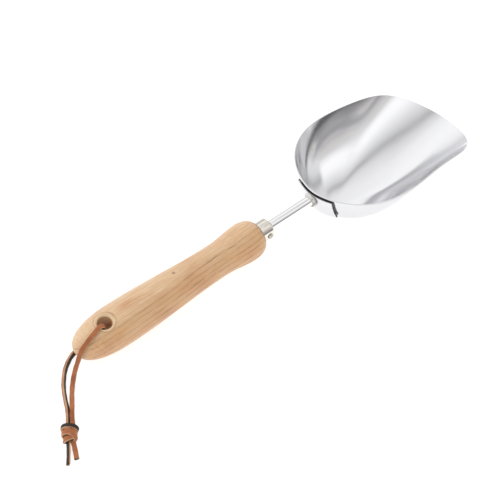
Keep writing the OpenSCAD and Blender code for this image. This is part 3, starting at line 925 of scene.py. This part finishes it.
def ash_wood():
    material, tree, shader = new_material("lacquered_ash")
    tool = tool_place(tree)
    split = add(tree, "ShaderNodeSeparateXYZ", {"Vector": tool})
    fibre = add(tree, NOISE, {"Vector": object_mm(tree, (22, 0.9, 0.9)), "Scale": 1.0, "Detail": 4.0,
                              "Roughness": 0.62})
    pore = add(tree, NOISE, {"Vector": object_mm(tree, (7, 0.42, 0.42)), "Scale": 1.0, "Detail": 3.0,
                             "Roughness": 0.7})
    cloud = add(tree, NOISE, {"Vector": object_mm(tree, (30, 11, 11)), "Scale": 1.0, "Detail": 3.0,
                              "Roughness": 0.55})
    line, side = growth_lines(tree, split, fibre, cloud)
    colour = add(tree, RAMP, (fibre,), stops=[(0.3, "#dcb284"), (0.52, "#e9c7a0"), (0.72, "#f2d8b8")])
    warmth = add(tree, RAMP, (cloud,), stops=[(0.3, "#e6c9b2"), (0.5, "#f8efe6"), (0.7, "#ffffff")])

    # short dashes where the long pores are cut open, fewer away from the dark side
    dash = add(tree, MATH, (add(tree, MAP, (pore, 0.6, 0.7, 0.0, 0.6)),
                            add(tree, MAP, (side, 0.1, 1.0, 0.15, 1.0))), operation="MULTIPLY")
    pin_knot = add(tree, VECTOR_MATH, (tool, PIN_KNOT_AT), operation="DISTANCE")

    # painted highlight: the countersink is painted paler, with a thin darker ring painted round it
    bored = hole_distance(tree, tool)
    painted_countersink_highlight = add(tree, MATH, (add(tree, MAP, (bored, 5.0, 5.4, 0.0, 1.0)),
                            add(tree, MAP, (bored, 6.3, 6.9, 1.0, 0.0))), operation="MULTIPLY")
    painted_countersink_highlight = add(tree, MATH, (painted_countersink_highlight, 0.6), operation="MULTIPLY")
    rim = add(tree, MATH, (add(tree, MAP, (bored, 6.7, 7.1, 0.0, 1.0)),
                           add(tree, MAP, (bored, 7.3, 7.9, 1.0, 0.0))), operation="MULTIPLY")
    rim = add(tree, MATH, (rim, 0.45), operation="MULTIPLY")

    # painted shade: the last two millimetres of wood before the ferrule are painted dark, for the shadow in
    # the gap at the ferrule
    painted_ferrule_gap_shade = add(tree, MAP, (split.outputs["X"], SHOULDER_X - 2.3, SHOULDER_X - 1.8, 0.0, 0.8))

    for factor, laid_over, mode in (
            (add(tree, MAP, (side, 0.1, 1.0, 0.0, 0.5)), linear("#d5a46f"), "MIX"),
            (0.75, warmth, "MULTIPLY"),
            (line, linear("#6f4423"), "MIX"),
            (dash, linear("#a5764b"), "MIX"),
            (add(tree, MAP, (pin_knot, 0.6, 1.6, 0.7, 0.0)), linear("#8a5a34"), "MIX"),
            (painted_countersink_highlight, linear("#f6dfb8"), "MIX"),
            (rim, linear("#a87c50"), "MIX"),
            (painted_ferrule_gap_shade, linear("#7d6348"), "MIX")):
        colour = add(tree, MIX, {"Factor": factor, 6: colour, 7: laid_over}, data_type="RGBA",
                     blend_type=mode)
    connect(tree, shader, {
        "Base Color": colour,
        "Roughness": add(tree, MAP, (pore, 0.3, 0.7, 0.4, 0.55)),
        "Specular IOR Level": 0.5,
        "Coat Weight": 0.3,
        "Coat Roughness": 0.3,
        "Normal": add(tree, BUMP, {"Height": pore, "Strength": 0.2, "Distance": 0.3 * MM})})
    return material


print("growth rings", RING_SPACING, "mm apart, fibres under a millimetre across")

# %% [markdown]
# The handle is turned, so its outline is one profile swept round: a full butt, a
# swell for the palm, a waist, and a bulge that stops the hand. The hanging hole is
# drilled and countersunk after the turning, and so it is here: a drill-shaped
# solid is taken away, and the edges that it leaves are broken with a small bevel.

# %% Handle
SWELL, SWELL_X = 30.0, 36.0
WAIST, WAIST_X = 24.0, 120.0
BULGE, BULGE_X = 28.4, 10.5
SHOULDER = 17.6
BUTT_POWER = 2.4
SPIGOT = 2.0


def eased(first, second, share):
    """From first to second along half a cosine wave."""
    return first + (second - first) * (1 - math.cos(math.pi * share)) / 2


def grip_radius(d):
    """Radius of the handle at d mm from its butt."""
    bulge_at = HANDLE_LENGTH - BULGE_X
    if d < SWELL_X:
        return SWELL / 2 * (1 - (1 - d / SWELL_X) ** BUTT_POWER) ** (1 / BUTT_POWER)
    if d < WAIST_X:
        return eased(SWELL / 2, WAIST / 2, (d - SWELL_X) / (WAIST_X - SWELL_X))
    if d < bulge_at:
        return eased(WAIST / 2, BULGE / 2, (d - WAIST_X) / (bulge_at - WAIST_X))
    return SHOULDER / 2 + (BULGE - SHOULDER) / 2 * math.sqrt(max(0, 1 - ((d - bulge_at) / BULGE_X) ** 2))


def make_handle():
    stations = [SWELL_X * (i / 30) ** 2 for i in range(0, 30)]
    stations += list(np.linspace(SWELL_X, HANDLE_LENGTH - BULGE_X, 90))
    stations += [HANDLE_LENGTH - BULGE_X + BULGE_X * math.sin(math.radians(a)) for a in range(6, 91, 6)]
    profile = [(BUTT_X + d, max(POLE, grip_radius(d))) for d in stations]
    profile += [(SHOULDER_X, 8.2), (SHOULDER_X, 7.2), (SHOULDER_X + SPIGOT, 6.8), (SHOULDER_X + SPIGOT, POLE)]
    points, faces = turned(profile, 192)
    body = make_piece("ash_handle", laid_down(points), faces, ash_wood(), ["handle"])
    crest = grip_radius(HOLE_X)
    deep = (SINK - HOLE) / 2
    far = 40
    drill = [(-far, POLE), (-far, SINK / 2 + far - crest), (-crest + deep, HOLE / 2),
             (crest - deep, HOLE / 2), (far, SINK / 2 + far - crest), (far, POLE)]
    rings = []
    for run, radius in drill:
        a = np.arange(96) * 2 * math.pi / 96
        ring = np.stack([radius * np.cos(a), radius * np.sin(a), np.full(96, float(run))], -1)
        c, s = math.cos(HOLE_TURN), math.sin(HOLE_TURN)
        ring = np.stack([ring[:, 0], ring[:, 1] * c - ring[:, 2] * s, ring[:, 1] * s + ring[:, 2] * c], -1)
        rings.append(ring + [BUTT_X + HOLE_X, 0, 0])
    cutter_mesh = bpy.data.meshes.new("drill")
    cutter_mesh.from_pydata([tuple(p) for p in laid_down(np.concatenate(rings))], [],
                            grid_faces(len(drill), 96))
    cutter = bpy.data.objects.new("drill", cutter_mesh)
    bpy.context.scene.collection.objects.link(cutter)
    for item in (body, cutter):
        merge = item.modifiers.new("merge", "WELD")
        merge.merge_threshold = 0.02 * MM
    bore = body.modifiers.new("hole", "BOOLEAN")
    bore.object = cutter
    bore.solver = "EXACT"
    finish_edges(body, 0.35, angle=25)
    bpy.data.objects.remove(cutter)
    return body


handle = make_handle()
print("handle has", len(handle.data.polygons), "faces")

# %% [markdown]
# The table is plain and pale, and bright enough to show no shadow. The light is an
# even tent: a bright strip over the tool, a narrow grey gap beside it, a lower and
# darker panel on the far side, an opening on the near side, and the dark edge of
# the table low down. A mirror shows all of them, and they are what gives the
# polished scoop its form.

# %% Table


def pale_table():
    material, tree, shader = new_material("white_table")
    connect(tree, shader, {"Base Color": linear("#b8b8b8"), "Roughness": 0.9, "Specular IOR Level": 0.1,
                           "Emission Color": linear("#ffffff"), "Emission Strength": 0.76})
    return material


table_mesh = bpy.data.meshes.new("table")
REACH = 3.0
table_mesh.from_pydata([(-REACH, -REACH, 0), (REACH, -REACH, 0), (REACH, REACH, 0), (-REACH, REACH, 0)], [],
                       [(0, 1, 2, 3)])
table = bpy.data.objects.new("table", table_mesh)
bpy.context.scene.collection.objects.link(table)
table_mesh.materials.append(pale_table())

# %% Light tent
world = bpy.data.worlds.new("light_tent")
bpy.context.scene.world = world
world.use_nodes = True
sky = world.node_tree
sky.nodes.clear()
direction = add(sky, "ShaderNodeTexCoord").outputs["Generated"]
aim = add(sky, "ShaderNodeSeparateXYZ", {"Vector": direction})
TENT_STRENGTH = 1.3


def panels(levels):
    """Grey of the tent's cloth from the near side (-Y) over the top to the far side (+Y)."""
    across = add(sky, MAP, (aim.outputs["Y"], -1, 1, 0, 1))
    return add(sky, RAMP, (across,), stops=[((y + 1) / 2, "#" + 3 * f"{level:02x}") for y, level in levels])


overhead = panels([(-0.95, 172), (-0.8, 184), (-0.64, 208), (-0.5, 240), (-0.38, 255), (-0.16, 252),
                   (0.0, 238), (0.16, 220), (0.26, 202), (0.32, 172), (0.36, 188), (0.4, 214),
                   (0.5, 236), (0.62, 248), (1.0, 248)])
forward = panels([(-0.95, 178), (-0.75, 190), (-0.62, 226), (-0.38, 216), (-0.12, 172), (0.08, 212),
                  (0.4, 216), (0.55, 238), (0.8, 206), (1.0, 236)])
ahead = add(sky, MAP, (aim.outputs["X"], 0.385, 0.46, 0, 1))

# the far panel hangs lower and darker, with a sharp edge where it starts
far = add(sky, MATH, (add(sky, MAP, (aim.outputs["Y"], 0.7, 0.745, 0, 1)),
                      add(sky, MAP, (aim.outputs["X"], 0.26, 0.32, 0, 1))), operation="MULTIPLY")
fall = add(sky, RAMP, (add(sky, MAP, (aim.outputs["Y"], 0.72, 1.0, 0, 1)),), stops=[
    (0.0, "#98989c"), (0.12, "#a9a9ac"), (0.45, "#c6c6c9"), (0.8, "#e2e2e4")])

# the opening on the near side, where the darker room shows through
clutter = add(sky, NOISE, {"Vector": direction, "Scale": 3.6, "Detail": 2.0, "Roughness": 0.55})
room = add(sky, RAMP, (clutter,), stops=[
    (0.34, "#8f8e90"), (0.45, "#b3b1b4"), (0.54, "#d8d4cc"), (0.66, "#aeaeb4")])
opening = add(sky, MAP, (aim.outputs["Y"], -0.78, -0.52, 0.75, 0))

# the edge of the table, a thin dark line all along the near side
low = add(sky, MAP, (aim.outputs["Z"], 0.1, 0.26, 1, 0))
near = add(sky, MAP, (aim.outputs["Y"], -0.45, -0.1, 1, 0))
edge = add(sky, MATH, (low, near), operation="MULTIPLY")

# behind the tool the backdrop is plain white
seen = add(sky, "ShaderNodeLightPath").outputs["Is Camera Ray"]
tent = overhead
for factor, cloth in ((ahead, forward), (far, fall), (opening, room), (edge, linear("#58585a")),
                      (seen, linear("#ffffff"))):
    tent = add(sky, MIX, {"Factor": factor, 6: tent, 7: cloth}, data_type="RGBA")
light = add(sky, "ShaderNodeBackground", {"Color": tent, "Strength": TENT_STRENGTH})
add(sky, "ShaderNodeOutputWorld", {"Surface": light})
bpy.context.scene.view_settings.view_transform = "Standard"
print("the tent's cloth shines at", TENT_STRENGTH)
